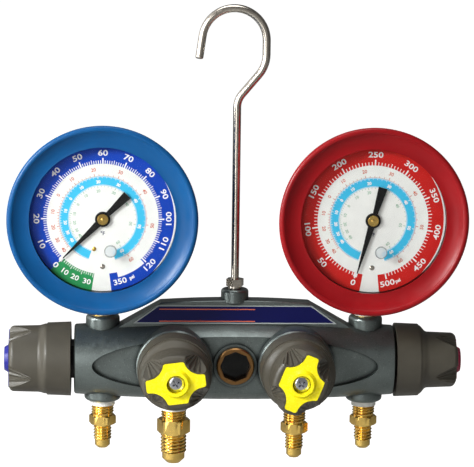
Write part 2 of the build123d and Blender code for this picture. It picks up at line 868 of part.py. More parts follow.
for name, frame in gauge_frames.items():
    below = upright(frame.origin.X, 0, gauge_z)
    sector_frame = Plane(frame.from_local_coords((0, -gear_distance, 0)), frame.x_dir, frame.z_dir)

    with BuildPart() as boot:
        rim = boot_rim_front - boot_bead
        with BuildSketch(Plane(frame.origin, x_dir=frame.x_dir, z_dir=-frame.y_dir)) as section:
            with BuildLine():
                cup = Polyline(
                    (boot_opening, case_front + lens_thickness + boot_lip),
                    (boot_opening, case_front + lens_thickness + laid_fit),
                    (case_radius + laid_fit, case_front + lens_thickness + laid_fit),
                    (case_radius + laid_fit, -case_back - laid_fit),
                    (boot_back_opening, -case_back - laid_fit),
                    (boot_back_opening, -case_back - boot_back),
                    (boot_cup_radius - boot_back, -case_back - boot_back),
                    (boot_cup_radius, -case_back),
                    (boot_cup_radius, boot_flare_back),
                )
                edge_back = (boot_rim_radius - boot_edge_draft, rim - boot_edge_width)
                flare_side = SagittaArc(cup @ 1, edge_back, boot_flare_sag)
                edge = Line(flare_side @ 1, (boot_rim_radius, rim))
                bead = ThreePointArc(
                    edge @ 1,
                    (boot_rim_radius - boot_bead, boot_rim_front),
                    (boot_rim_radius - 2 * boot_bead, boot_rim_front - boot_bead / 2),
                )
                slope_in = SagittaArc(bead @ 1, cup @ 0, boot_funnel_sag)
            make_face()
        revolve(section.sketch, axis=Axis(frame.origin, frame.z_dir))
        disc(below, gauge_stem_radius + boot_stem_gap, -boot_rim_radius, 0, Mode.SUBTRACT)
    save(boot, f"{name}_gauge_boot")

    with BuildPart() as case:
        turn(
            frame,
            [
                (0, -case_back),
                (case_radius, -case_back),
                (case_radius, case_front),
                (case_radius - case_wall, case_front),
                (case_radius - case_wall, case_wall - case_back),
                (0, case_wall - case_back),
            ],
        )
        hole = gauge_stem_radius + laid_fit
        disc(below, hole, -case_radius - case_wall, socket_bottom, Mode.SUBTRACT)
    save(case, f"{name}_gauge_case")

    with BuildPart() as lens:
        lens_shelf = case_front + lens_thickness
        lens_face = lens_shelf + lens_rise
        turn(
            frame,
            [
                (0, case_front),
                (case_radius, case_front),
                (case_radius, lens_shelf),
                (boot_opening - laid_fit, lens_shelf),
                (boot_opening - laid_fit - lens_bevel, lens_face),
                (0, lens_face),
            ],
        )
        with BuildSketch(frame.offset(lens_face)) as plug:
            with Locations(lens_plug_place):
                Circle(lens_plug_radius)
        extrude(plug.sketch, amount=lens_plug_height)
    save(lens, f"{name}_gauge_lens")

    with BuildPart() as dial:
        ring(frame, dial_hole, dial_radius, dial_face - dial_thickness, dial_face)
    save(dial, f"{name}_gauge_dial")

    with BuildPart() as socket:
        with BuildSketch(frame.offset(socket_back)) as block:
            with BuildLine():
                Polyline(
                    (-socket_half_width, socket_bottom),
                    (socket_half_width, socket_bottom),
                    (socket_half_width, socket_top),
                    (-socket_half_width, socket_top),
                    close=True,
                )
            make_face()
        extrude(block.sketch, amount=back_plate - socket_back)
        disc(below, gauge_stem_radius, gauge_stem_depth - gauge_height, socket_bottom)
        with BuildSketch(below.offset(gauge_square_bottom - gauge_height)) as square:
            RectangleRounded(gauge_square, gauge_square, stem_square_rounding)
        extrude(square.sketch, amount=gauge_square_top - gauge_square_bottom)
        disc(
            below,
            passage_radius,
            gauge_stem_depth - gauge_height,
            (socket_bottom + socket_top) / 2,
            Mode.SUBTRACT,
        )
    save(socket, f"{name}_gauge_socket")

    with BuildPart() as bourdon_tube:
        with BuildSketch(Plane(frame.origin, x_dir=frame.x_dir, z_dir=-frame.y_dir)) as oval:
            with Locations((tube_radius, tube_middle)):
                SlotOverall(tube_width, tube_wall, rotation=90)
        ring_axis = Axis(frame.origin, frame.z_dir)
        sweep_angle = tube_root_angle - tube_tip_angle
        start = oval.sketch.rotate(ring_axis, tube_tip_angle)
        revolve(start, axis=ring_axis, revolution_arc=sweep_angle)
        tip_frame = spun(frame, tube_tip_angle)
        with BuildSketch(tip_frame.offset(tube_middle - tip_block[2] / 2)) as block:
            with Locations((tube_radius, 0)):
                Rectangle(tip_block[1], tip_block[0])
        extrude(block.sketch, amount=tip_block[2])
        with BuildSketch(tip_frame.offset(tube_middle)) as lug:
            with Locations((tube_radius, 0)):
                Circle(tip_lug_radius)
        extrude(lug.sketch, amount=tip_lug_front - tube_middle)
    save(bourdon_tube, f"{name}_bourdon_tube")

    with BuildPart() as movement_frame:
        for height in (back_plate, front_plate):
            with BuildSketch(frame.offset(height)) as plate:
                with Locations((0, (plate_top + plate_bottom) / 2)):
                    Rectangle(2 * plate_half_width, plate_top - plate_bottom)
                with Locations((0, 0), (0, -gear_distance)):
                    Circle(arbor_radius + running_fit, mode=Mode.SUBTRACT)
            extrude(plate.sketch, amount=plate_thickness)
        with BuildSketch(frame.offset(back_plate + plate_thickness)) as pillars:
            for y in (pillar_bottom, pillar_top):
                with Locations((-pillar_x, y), (pillar_x, y)):
                    Circle(pillar_radius)
        extrude(pillars.sketch, amount=dial_face - dial_thickness - back_plate - plate_thickness)
    save(movement_frame, f"{name}_movement_frame")

    with BuildPart() as pointer_arbor:
        disc(frame, arbor_radius, back_plate - arbor_end, pointer_front)
        half_tooth = pi / pinion_teeth
        pinion_place = sector_place - (pinion_height - sector_thickness) / 2
        corners = gear_corners(range(pinion_teeth), pinion_teeth, half_tooth - pi / 2)
        with BuildSketch(frame.offset(pinion_place)) as teeth:
            with BuildLine():
                Polyline(*corners, close=True)
            make_face()
        extrude(teeth.sketch, amount=pinion_height)
        disc(frame, pointer_bush_radius, pointer_front, pointer_front + pointer_bush_height)
    save(pointer_arbor, f"{name}_pointer_arbor")

    with BuildPart() as pointer:
        with BuildSketch(spun(frame.offset(pointer_place), 90 - zero_angles[name])) as blade:
            with BuildLine():
                Polyline(
                    (pointer_reach, -pointer_tip_width / 2),
                    (pointer_reach, pointer_tip_width / 2),
                    (0, pointer_waist),
                    (0, pointer_waist / 2),
                    (-pointer_tail, pointer_tail_width / 2),
                    (-pointer_tail, -pointer_tail_width / 2),
                    (0, -pointer_waist / 2),
                    (0, -pointer_waist),
                    close=True,
                )
            make_face()
            Circle(pointer_disc_radius)
            Circle(arbor_radius, mode=Mode.SUBTRACT)
        extrude(blade.sketch, amount=pointer_thickness)
    save(pointer, f"{name}_pointer")

    with BuildPart() as sector_gear:
        with BuildSketch(sector_frame.offset(sector_place)) as web:
            teeth = range(sector_first_tooth, sector_last_tooth + 1)
            with BuildLine():
                Polyline((0, 0), *gear_corners(teeth, sector_full_teeth, pi / 2), close=True)
            make_face()
            Circle(sector_hub_radius)
            with Locations((sector_tail / 2 * cos(tail_angle), sector_tail / 2 * sin(tail_angle))):
                SlotCenterToCenter(sector_tail, sector_tail_width, rotation=sector_tail_angle)
        extrude(web.sketch, amount=sector_thickness)
        disc(
            sector_frame,
            arbor_radius,
            back_plate - arbor_end,
            front_plate + plate_thickness + arbor_end,
        )
        pin_frame = Plane(frame.from_local_coords((*tail_pin, 0)), frame.x_dir, frame.z_dir)
        disc(pin_frame, link_pin_radius, link_place - arbor_end, sector_place)
    save(sector_gear, f"{name}_sector_gear")

    with BuildPart() as link:
        across, up = tube_tip[0] - tail_pin[0], tube_tip[1] - tail_pin[1]
        length = sqrt(across**2 + up**2)
        with BuildSketch(frame.offset(link_place)) as bar:
            with Locations((tail_pin[0] + across / 2, tail_pin[1] + up / 2)):
                SlotCenterToCenter(length, link_width, rotation=degrees(asin(up / length)))
            with Locations(tail_pin, tube_tip):
                Circle(link_pin_radius + running_fit, mode=Mode.SUBTRACT)
        extrude(bar.sketch, amount=link_thickness)
    save(link, f"{name}_link")
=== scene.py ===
# Looks of a refrigerant manifold gauge set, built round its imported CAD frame.
# Pieces are drawn in millimetres in a local frame, and placed in the row frame in metres.
import json
import math

import bmesh
import bpy
from mathutils import Matrix, Vector


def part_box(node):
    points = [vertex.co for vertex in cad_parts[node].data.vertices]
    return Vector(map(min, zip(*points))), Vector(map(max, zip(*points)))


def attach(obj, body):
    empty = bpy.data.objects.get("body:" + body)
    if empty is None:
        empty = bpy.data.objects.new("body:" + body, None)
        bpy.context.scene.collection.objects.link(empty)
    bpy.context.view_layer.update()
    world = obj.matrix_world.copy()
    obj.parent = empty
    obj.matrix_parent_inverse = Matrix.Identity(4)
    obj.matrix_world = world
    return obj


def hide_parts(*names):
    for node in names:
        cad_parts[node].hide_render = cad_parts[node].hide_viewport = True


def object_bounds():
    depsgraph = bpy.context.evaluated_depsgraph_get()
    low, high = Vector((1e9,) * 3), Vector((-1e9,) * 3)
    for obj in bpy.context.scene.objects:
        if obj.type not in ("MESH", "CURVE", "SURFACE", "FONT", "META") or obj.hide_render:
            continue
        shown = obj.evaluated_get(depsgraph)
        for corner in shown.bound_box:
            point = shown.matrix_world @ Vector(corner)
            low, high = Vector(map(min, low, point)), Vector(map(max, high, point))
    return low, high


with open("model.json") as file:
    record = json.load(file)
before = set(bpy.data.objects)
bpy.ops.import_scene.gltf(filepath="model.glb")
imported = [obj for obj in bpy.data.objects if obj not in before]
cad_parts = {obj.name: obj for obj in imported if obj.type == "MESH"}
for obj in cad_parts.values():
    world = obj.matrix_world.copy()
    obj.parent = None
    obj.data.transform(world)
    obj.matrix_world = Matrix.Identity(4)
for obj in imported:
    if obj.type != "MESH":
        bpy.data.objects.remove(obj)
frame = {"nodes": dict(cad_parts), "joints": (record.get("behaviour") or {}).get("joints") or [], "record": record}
cad_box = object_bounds()
joints = {joint["name"]: joint for joint in frame["joints"]}
MM = 0.001


# ---------------------------------------------------------------- drawing
def place(origin, x_axis, z_axis):
    """Matrix from a local frame in millimetres to the row frame in metres."""
    z = Vector(z_axis).normalized()
    x = Vector(x_axis).normalized()
    turn = Matrix((x, z.cross(x), z)).transposed().to_4x4()
    return Matrix.Translation(Vector(origin)) @ turn @ Matrix.Scale(MM, 4)


def lathe(bm, outline, steps=96, loop=False):
    """Revolve (radius, height) points about local z; a radius of 0 is a pole."""
    rows = []
    for radius, height in outline:
        if radius == 0:
            rows.append([bm.verts.new((0, 0, height))])
            continue
        row = []
        for step in range(steps):
            angle = 2 * math.pi * step / steps
            row.append(bm.verts.new((radius * math.cos(angle), radius * math.sin(angle), height)))
        rows.append(row)
    join_rows(bm, rows, loop)


def join_rows(bm, rows, loop=False, around=True):
    """Faces between rows of vertices; around closes each row on itself."""
    following = rows[1:] + rows[:1] if loop else rows[1:]
    for lower, upper in zip(rows, following):
        steps = max(len(lower), len(upper))
        for step in range(steps if around else steps - 1):
            after = (step + 1) % steps
            corners = [
                lower[step % len(lower)],
                lower[after % len(lower)],
                upper[after % len(upper)],
                upper[step % len(upper)],
            ]
            corners = list(dict.fromkeys(corners))
            if len(corners) > 2:
                bm.faces.new(corners)


def close_ends(bm, rows):
    """Flat faces under the first row and over the last."""
    bm.faces.new(list(reversed(rows[0])))
    bm.faces.new(rows[-1])


def rod(bm, radius, bottom, top, steps=48):
    """A plain cylinder between two heights."""
    lathe(bm, [(0, bottom), (radius, bottom), (radius, top), (0, top)], steps)


def prism(bm, outline, bottom, top):
    """A solid of straight sides between two heights, over a closed outline of (x, y)."""
    lower = [bm.verts.new((x, y, bottom)) for x, y in outline]
    upper = [bm.verts.new((x, y, top)) for x, y in outline]
    join_rows(bm, [lower, upper])
    close_ends(bm, [lower, upper])


def on_dial(radius, angle):
    """A point on a dial; angles run clockwise from the top, in degrees."""
    return radius * math.sin(math.radians(angle)), radius * math.cos(math.radians(angle))


def band(bm, inner, outer, start, end, bottom, top, step=3.0):
    """A ring, or the part of one between two dial angles, as a thin solid."""
    whole = end - start >= 360
    count = max(2, round((end - start) / step))
    rows = []
    for index in range(count if whole else count + 1):
        angle = start + (end - start) * index / count
        x_in, y_in = on_dial(inner, angle)
        x_out, y_out = on_dial(outer, angle)
        rows.append(
            [
                bm.verts.new((x_in, y_in, bottom)),
                bm.verts.new((x_out, y_out, bottom)),
                bm.verts.new((x_out, y_out, top)),
                bm.verts.new((x_in, y_in, top)),
            ]
        )
    join_rows(bm, rows, loop=whole)
    if not whole:
        bm.faces.new(rows[0])
        bm.faces.new(list(reversed(rows[-1])))


def crescent(bm, outer, widest, start, end, bottom, top, count=32):
    """A crescent inside a radius, widest half way between two dial angles, as short prisms, for the dial's painted
    reflection.
    """
    rims = []
    for index in range(count + 1):
        angle = start + (end - start) * index / count
        width = widest * math.sin(math.pi * index / count) ** 0.6 + 0.02
        rims.append((on_dial(outer, angle), on_dial(outer - width, angle)))
    for (out_a, in_a), (out_b, in_b) in zip(rims, rims[1:]):
        prism(bm, [out_a, out_b, in_b, in_a], bottom, top)
    bmesh.ops.remove_doubles(bm, verts=bm.verts, dist=0.0001)


def tick(bm, inner, outer, angle, width, bottom, top):
    """A radial mark on a dial."""
    x_in, y_in = on_dial(inner, angle)
    x_out, y_out = on_dial(outer, angle)
    across = on_dial(width / 2, angle + 90)
    outline = [
        (x_in - across[0], y_in - across[1]),
        (x_in + across[0], y_in + across[1]),
        (x_out + across[0], y_out + across[1]),
        (x_out - across[0], y_out - across[1]),
    ]
    prism(bm, outline, bottom, top)


def lettering(bm, text, size, where, bottom, top, weight=0.0):
    """Figures as thin solids; where is a 4x4 in the local frame."""
    curve = bpy.data.curves.new("figures", "FONT")
    curve.body = text
    curve.size = size
    curve.align_x = "CENTER"
    curve.align_y = "CENTER"
    curve.offset = weight
    curve.extrude = (top - bottom) / 2
    curve.resolution_u = 3
    holder = bpy.data.objects.new("figures", curve)
    mesh = bpy.data.meshes.new_from_object(holder)
    mesh.transform(where @ Matrix.Translation((0, 0, (bottom + top) / 2)))
    bm.from_mesh(mesh)
    bpy.data.meshes.remove(mesh)
    bpy.data.objects.remove(holder)
    bpy.data.curves.remove(curve)


def figure(bm, text, radius, angle, size, bottom, top, weight=0.0, wide=1.0):
    """A figure on a dial: its top faces out on the upper half and in on the lower half."""
    x, y = on_dial(radius, angle)
    turned = -angle if abs(angle) < 90 else 180 - angle
    where = Matrix.Translation((x, y, 0)) @ Matrix.Rotation(math.radians(turned), 4, "Z")
    lettering(bm, text, size, where @ Matrix.Diagonal((wide, 1, 1, 1)), bottom, top, weight)


def piece(name, bm, where, body, finish, crease=32.0):
    """Turn a drawing into a placed, shaded piece that rides on a CAD body."""
    bmesh.ops.recalc_face_normals(bm, faces=bm.faces)
    limit = math.radians(crease)
    for face in bm.faces:
        face.smooth = True
    for edge in bm.edges:
        edge.smooth = edge.calc_face_angle(math.pi) < limit
    mesh = bpy.data.meshes.new(name)
    bm.to_mesh(mesh)
    bm.free()
    mesh.transform(where)
    mesh.materials.append(finish)
    made = bpy.data.objects.new(name, mesh)
    bpy.context.scene.collection.objects.link(made)
    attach(made, body)
    return made


# ---------------------------------------------------------------- finishes
def linear(red, green, blue):
    """A colour given as it looks on a screen, 0 to 255, as the shader wants it."""
    return [(value / 255 / 12.92 if value < 10 else ((value / 255 + 0.055) / 1.055) ** 2.4)
            for value in (red, green, blue)] + [1.0]


class Finish:
    """A procedural material: a base colour that varies, an uneven gloss and a fine relief."""

    def __init__(self, name, colour, roughness, metallic=0.0):
        self.material = bpy.data.materials.new(name)
        self.material.use_nodes = True
        self.nodes = self.material.node_tree.nodes
        self.links = self.material.node_tree.links
        self.shader = self.nodes["Principled BSDF"]
        self.colour = linear(*colour)
        self.roughness = roughness
        self.shader.inputs["Base Color"].default_value = self.colour
        self.shader.inputs["Roughness"].default_value = roughness
        self.shader.inputs["Metallic"].default_value = metallic
        self.position = self.nodes.new("ShaderNodeTexCoord").outputs["Object"]
        self.tone = None
        self.normal = None

    def noise(self, grain, detail=2.0, stretch=(1, 1, 1)):
        """Noise of a grain size in millimetres, drawn out along an axis by stretch."""
        mapping = self.nodes.new("ShaderNodeMapping")
        mapping.inputs["Scale"].default_value = [1 / (MM * grain * along) for along in stretch]
        self.links.new(self.position, mapping.inputs["Vector"])
        texture = self.nodes.new("ShaderNodeTexNoise")
        texture.inputs["Scale"].default_value = 1.0
        texture.inputs["Detail"].default_value = detail
        self.links.new(mapping.outputs["Vector"], texture.inputs["Vector"])
        return texture.outputs["Fac"]

    def between(self, source, low, high, to_low=0.0, to_high=1.0):
        """The source's values from low to high, spread over a new range."""
        spread = self.nodes.new("ShaderNodeMapRange")
        spread.inputs["From Min"].default_value = low
        spread.inputs["From Max"].default_value = high
        spread.inputs["To Min"].default_value = to_low
        spread.inputs["To Max"].default_value = to_high
        self.links.new(source, spread.inputs["Value"])
        return spread.outputs["Result"]

    def stain(self, factor, colour):
        """Mix another colour into the base where the factor says."""
        mix = self.nodes.new("ShaderNodeMix")
        mix.data_type = "RGBA"
        mix.inputs["A"].default_value = self.colour
        mix.inputs["B"].default_value = linear(*colour)
        if self.tone is not None:
            self.links.new(self.tone, mix.inputs["A"])
        self.links.new(factor, mix.inputs["Factor"])
        self.tone = mix.outputs["Result"]
        self.links.new(self.tone, self.shader.inputs["Base Color"])
        return self

    def gloss(self, source, spread):
        """Make the roughness wander by the spread either way."""
        level = self.between(source, 0.3, 0.7, self.roughness - spread, self.roughness + spread)
        self.links.new(level, self.shader.inputs["Roughness"])
        return self

    def relief(self, source, depth):
        """Bumps of a depth in millimetres."""
        bump = self.nodes.new("ShaderNodeBump")
        bump.inputs["Strength"].default_value = 1.0
        bump.inputs["Distance"].default_value = depth * MM
        self.links.new(source, bump.inputs["Height"])
        if self.normal is not None:
            self.links.new(self.normal, bump.inputs["Normal"])
        self.normal = bump.outputs["Normal"]
        self.links.new(self.normal, self.shader.inputs["Normal"])
        return self

    def crevices(self, reach):
        """Where the surface lies close to others, within a reach in millimetres, for painted shade in the corners.
        """
        near = self.nodes.new("ShaderNodeAmbientOcclusion")
        near.samples = 8
        near.inputs["Distance"].default_value = reach * MM
        return self.between(near.outputs["AO"], 0.4, 0.92, 0.95, 0.0)

    def set(self, **values):
        """Constant values on the shader's own sockets."""
        for name, value in values.items():
            self.shader.inputs[name.replace("_", " ")].default_value = value
        return self


def cast_paint():
    """Satin grey metallic paint with a pale and dark speckle, and painted shade in its corners."""
    made = Finish("cast_paint", (110, 118, 116), 0.34, 0.85)
    made.set(Specular_IOR_Level=0.45)
    made.stain(made.between(made.noise(14.0), 0.35, 0.65, 0.0, 0.5), (126, 135, 133))
    made.stain(made.between(made.noise(0.75, 3.0), 0.60, 0.70, 0.0, 0.5), (156, 162, 158))
    made.stain(made.between(made.noise(0.9, 3.0), 0.28, 0.38, 0.45, 0.0), (46, 49, 48))
    # Painted shade: near-black where the casting lies close to other surfaces, in its corners and round the
    # pocket's edge.
    made.stain(made.crevices(3.2), (10, 11, 11))
    made.gloss(made.noise(3.0), 0.06)
    made.relief(made.noise(1.1, 3.0), 0.05)
    made.relief(made.noise(9.0), 0.10)
    return made.material


def knob_plastic():
    """Warm dark grey moulded plastic with a fine matt grain."""
    made = Finish("knob_plastic", (70, 66, 57), 0.42)
    made.set(Specular_IOR_Level=0.4)
    made.stain(made.between(made.noise(10.0), 0.35, 0.65, 0.0, 0.45), (80, 76, 66))
    made.gloss(made.noise(2.0), 0.06)
    made.relief(made.noise(0.45, 2.0), 0.015)
    return made.material


def rubber(name, colour, shade):
    """Moulded rubber: a satin skin, faintly clouded, with a fine grain."""
    made = Finish(name, colour, 0.34)
    made.set(Specular_IOR_Level=0.28)
    made.stain(made.between(made.noise(18.0), 0.3, 0.7, 0.0, 0.5), shade)
    made.gloss(made.noise(5.0), 0.06)
    made.relief(made.noise(0.7, 2.0), 0.012)
    made.relief(made.noise(7.0), 0.05)
    return made.material


def brass(name, colour, tarnish, roughness):
    """Machined brass with turning marks and a little tarnish."""
    made = Finish(name, colour, roughness, 1.0)
    made.stain(made.between(made.noise(9.0), 0.35, 0.7, 0.0, 0.4), tarnish)
    made.gloss(made.noise(2.5), 0.04)
    made.relief(made.noise(0.8, 2.0, (4, 4, 0.6)), 0.003)
    return made.material


def steel(name, colour, roughness, along=(1, 1, 9)):
    """Plated steel, drawn or brushed along an axis."""
    made = Finish(name, colour, roughness, 1.0)
    shade = [value * 0.8 for value in colour]
    made.stain(made.between(made.noise(5.0), 0.35, 0.7, 0.0, 0.5), shade)
    made.gloss(made.noise(2.5), 0.08)
    made.relief(made.noise(0.3, 2.0, along), 0.006)
    return made.material


def gloss_plastic(name, colour, shade):
    """Glossy moulded plastic, with a slight orange peel."""
    made = Finish(name, colour, 0.26)
    made.stain(made.between(made.noise(6.0), 0.35, 0.65, 0.0, 0.3), shade)
    made.gloss(made.noise(2.0), 0.05)
    made.relief(made.noise(1.6, 2.0), 0.01)
    return made.material


def print_ink(name, colour, roughness=0.45):
    """Printing ink, very slightly uneven."""
    made = Finish(name, colour, roughness)
    made.set(Specular_IOR_Level=0.25)
    shade = [value * 0.94 for value in colour]
    made.stain(made.between(made.noise(8.0), 0.35, 0.65, 0.0, 0.35), shade)
    made.relief(made.noise(0.5, 2.0), 0.002)
    return made.material


def clear(name, colour, opacity, roughness, rim):
    """Clear plastic or glass: nearly see-through face on, whiter where it is seen edge on."""
    made = Finish(name, colour, roughness)
    made.set(Specular_IOR_Level=0.35)
    facing = made.nodes.new("ShaderNodeLayerWeight")
    facing.inputs["Blend"].default_value = 0.5
    made.links.new(
        made.between(facing.outputs["Facing"], 0.25, 1.0, opacity, rim),
        made.shader.inputs["Alpha"],
    )
    made.gloss(made.noise(6.0), roughness * 0.5)
    return made.material


finishes = {
    "casting_paint": cast_paint(),
    "label_film": print_ink("label_film", (8, 12, 72), 0.3),
    "brass": brass("machined_brass", (254, 216, 122), (232, 178, 82), 0.15),
    # The sight glass is near-black and mostly opaque: painted shade for the dark bore behind the clear glass.
    "sight_glass": clear("sight_glass", (12, 12, 11), 0.8, 0.05, 0.9),
    "black_rubber": rubber("black_rubber", (28, 28, 29), (40, 40, 41)),
    "white_sealing_tape": print_ink("sealing_tape", (236, 236, 230), 0.6),
    "plated_steel": steel("plated_steel", (214, 206, 194), 0.2),
    "dark_steel": steel("dark_steel", (52, 50, 50), 0.4),
    "knob_plastic": knob_plastic(),
    "blue_cap": gloss_plastic("blue_cap", (32, 34, 132), (24, 26, 108)),
    "red_cap": gloss_plastic("red_cap", (160, 28, 66), (130, 22, 52)),
    "yellow_cap": gloss_plastic("yellow_cap", (255, 240, 22), (250, 226, 10)),
    "bright_screw": steel("bright_screw", (206, 208, 214), 0.12),
    "blue_rubber": rubber("blue_rubber", (4, 80, 136), (4, 66, 118)),
    "red_rubber": rubber("red_rubber", (148, 10, 18), (126, 8, 16)),
    "black_case": steel("black_case", (34, 34, 36), 0.35),
    "clear_lens": clear("clear_lens", (104, 110, 114), 0.012, 0.03, 0.5),
    "dial_print": print_ink("dial_white", (253, 253, 248), 0.4),
    "black_pointer": print_ink("black_pointer", (14, 11, 9), 0.5),
}
plug_finishes = {
    "face": clear("plug_face", (214, 221, 222), 0.4, 0.2, 0.7),
    "rim": clear("plug_rim", (128, 134, 136), 0.65, 0.2, 0.9),
}
retainer_brass = brass("tarnished_brass", (150, 112, 70), (112, 78, 44), 0.34)
inks = {
    "blue": print_ink("ink_blue", (2, 66, 188)),
    "red": print_ink("ink_red", (214, 30, 24)),
    "sky": print_ink("ink_sky", (66, 200, 244)),
    "orange": print_ink("ink_orange", (214, 104, 74)),
    "leaf": print_ink("ink_leaf", (150, 190, 160)),
    "green": print_ink("ink_green", (38, 150, 84)),
    "navy": print_ink("ink_navy", (48, 52, 92)),
    "white": print_ink("ink_white", (255, 255, 253)),
    # Pale band round the label: partly its margin, partly a painted highlight on the casting's edge.
    "silver": print_ink("silver_margin_and_highlight", (158, 166, 164), 0.3),
}

for entry in frame["record"]["subparts"]:
    node = frame["nodes"][entry["node"]]
    node.data.materials.clear()
    finish = finishes[entry["material_slot"]]
    if entry["node"] == "sight_glass_retainer":
        finish = retainer_brass
    node.data.materials.append(finish)
    node.data.shade_smooth()
    smooth = node.modifiers.new("crease", "EDGE_SPLIT")
    smooth.split_angle = math.radians(28)


# ---------------------------------------------------------------- dials
# Lengths are in millimetres, and dial angles in degrees clockwise from the top.
dial_face = 30.5
print_depth = 0.04
ring_inner, ring_outer = 32.6, 42.9
minor_reach, middle_reach, major_reach = 34.6, 35.1, 36.0
sky_inner, sky_outer = 19.8, 25.3
sky_start, sky_end = -161.0, 163.0
scale_low, scale_high = -40, 60
scale_first, scale_growth = 13.5, 1.15
# A white crescent at the right of each dial's edge is a painted reflection of the lens rim.
glint_width, glint_start, glint_end = 1.0, 52.0, 136.0
bush_foot = 32.1
plug_place, plug_radius, plug_height, plug_rim = (4.7, -18.2), 3.6, 0.8, 0.5
gauges = {
    "low": dict(
        ink="blue", zero=-135.0, full=135.0, top=120, minor=1, middle=5, major=10,
        gap=(173.0, 188.5), start=-171.5,
    ),
    "high": dict(
        ink="red", zero=-163.5, full=166.0, top=500, minor=5, middle=25, major=50,
        gap=(174.0, 189.5), start=-170.5,
    ),
}


def dial_frame(gauge):
    """Local frame of a gauge: on the pointer's axis, x to the right, y up, z to the viewer."""
    return place(joints[f"{gauge}_pointer_turn"]["pos_m"], (1, 0, 0), (0, -1, 0))


def layer(level):
    """Bottom and top of a layer of print; upper layers reach further out."""
    return dial_face - print_depth, dial_face + print_depth * level


def pressure_marks(bm, gauge):
    """White ticks and figures of the pressure scale."""
    facts = gauges[gauge]
    spread = facts["full"] - facts["zero"]
    for value in range(0, facts["top"] + 1, facts["minor"]):
        angle = facts["zero"] + spread * value / facts["top"]
        major = value % facts["major"] == 0
        reach = middle_reach if value % facts["middle"] == 0 else minor_reach
        if major:
            reach = major_reach
        tick(bm, ring_inner - 0.2, reach, angle, 0.8 if major else 0.44, *layer(2))
        if major:
            figure(bm, str(value), 38.8, angle, 4.6, *layer(2), weight=0.09, wide=1.3)


def curved_scale(bm, line, start, marks, figures):
    """A temperature scale on a layer: each ten is wider than the last by the growth."""
    inner, minor, major = marks
    radius, size, weight = figures
    for value in range(scale_low, scale_high + 1, 2):
        tens = (value - scale_low) / 10
        angle = start + scale_first * (scale_growth**tens - 1) / (scale_growth - 1)
        long = value % 10 == 0
        tick(bm, inner, major if long else minor, angle, 0.32 if long else 0.24, *layer(line))
        if long:
            figure(bm, str(abs(value)), radius, angle, size, *layer(line), weight=weight)


def dial(gauge):
    """The printing on a dial, one piece for each ink."""
    facts = gauges[gauge]
    where = dial_frame(gauge)

    ring = bmesh.new()
    first = facts["zero"] if gauge == "low" else facts["start"]
    band(ring, ring_inner, ring_outer, first, facts["gap"][0], *layer(1))
    piece(f"{gauge}_dial_ring", ring, where, "manifold", inks[facts["ink"]])

    white = bmesh.new()
    pressure_marks(white, gauge)
    band(white, ring_inner, ring_inner + 2.6, facts["zero"] - 1.9, facts["zero"] + 1.9, *layer(3))
    band(white, ring_inner - 0.25, ring_inner + 0.05, facts["start"], facts["gap"][0], *layer(2))
    if gauge == "low":
        band(white, ring_inner, ring_inner + 3.2, facts["full"] + 2, 165.0, *layer(2))
        figure(white, "350", 38.6, 164.5, 4.5, *layer(2), weight=0.1, wide=1.2)
        figure(white, "psi", 38.6, 153.5, 2.8, *layer(2), weight=0.12)
        for value in range(0, 31, 2):
            angle = -136.5 - value * 1.13
            reach = ring_inner + (2.6 if value % 10 == 0 else 1.7)
            tick(white, ring_inner - 0.2, reach, angle, 0.4, *layer(3))
        for text, angle in (("10", -144.5), ("20", -155.0), ("30", -166.0)):
            figure(white, text, 38.4, angle, 4.3, *layer(3), weight=0.09, wide=1.15)
    else:
        figure(white, "psi", 39.2, 156.5, 2.8, *layer(2), weight=0.12)
    piece(f"{gauge}_dial_marks", white, where, "manifold", inks["white"])

    if gauge == "low":
        vacuum = bmesh.new()
        band(vacuum, ring_inner, ring_outer, facts["start"], facts["zero"], *layer(1))
        piece("low_dial_vacuum_sector", vacuum, where, "manifold", inks["green"])

    sky = bmesh.new()
    band(sky, sky_inner, sky_outer, sky_start, sky_end, *layer(1))
    piece(f"{gauge}_dial_inner_ring", sky, where, "manifold", inks["sky"])

    pale = bmesh.new()
    band(pale, sky_outer - 0.45, sky_outer - 0.25, sky_start, sky_end, *layer(2))
    band(pale, sky_inner + 0.25, sky_inner + 0.45, sky_start, sky_end, *layer(2))
    marks = (sky_outer - 0.3, sky_outer - 1.2, sky_outer - 1.6)
    curved_scale(pale, 2, -125.0, marks, (22.0, 2.5, 0.12))
    piece(f"{gauge}_dial_inner_marks", pale, where, "manifold", inks["white"])

    warm = bmesh.new()
    marks = (sky_outer + 0.25, sky_outer + 1.1, sky_outer + 1.7)
    curved_scale(warm, 1, -129.0, marks, (29.3, 2.9, 0.05))
    band(warm, sky_outer + 0.2, sky_outer + 0.32, -150.0, 150.0, *layer(1))
    piece(f"{gauge}_dial_outer_scale", warm, where, "manifold", inks["orange"])

    faint = bmesh.new()
    marks = (sky_inner - 0.3, sky_inner - 1.0, sky_inner - 1.5)
    curved_scale(faint, 1, -127.0, marks, (16.6, 2.4, 0.03))
    piece(f"{gauge}_dial_inner_scale", faint, where, "manifold", inks["leaf"])

    # Painted reflection: a white crescent at the right of the dial's edge, where the lens rim catches the light.
    painted_glint = bmesh.new()
    crescent(painted_glint, ring_outer, glint_width, glint_start, glint_end, *layer(3))
    piece(f"{gauge}_dial_painted_glint", painted_glint, where, "manifold", inks["white"])

    note = bmesh.new()
    lettering(note, "°F", 3.0, Matrix.Translation((0, -8.6, 0)), *layer(1), weight=0.06)
    piece(f"{gauge}_dial_unit", note, where, "manifold", inks["navy"])


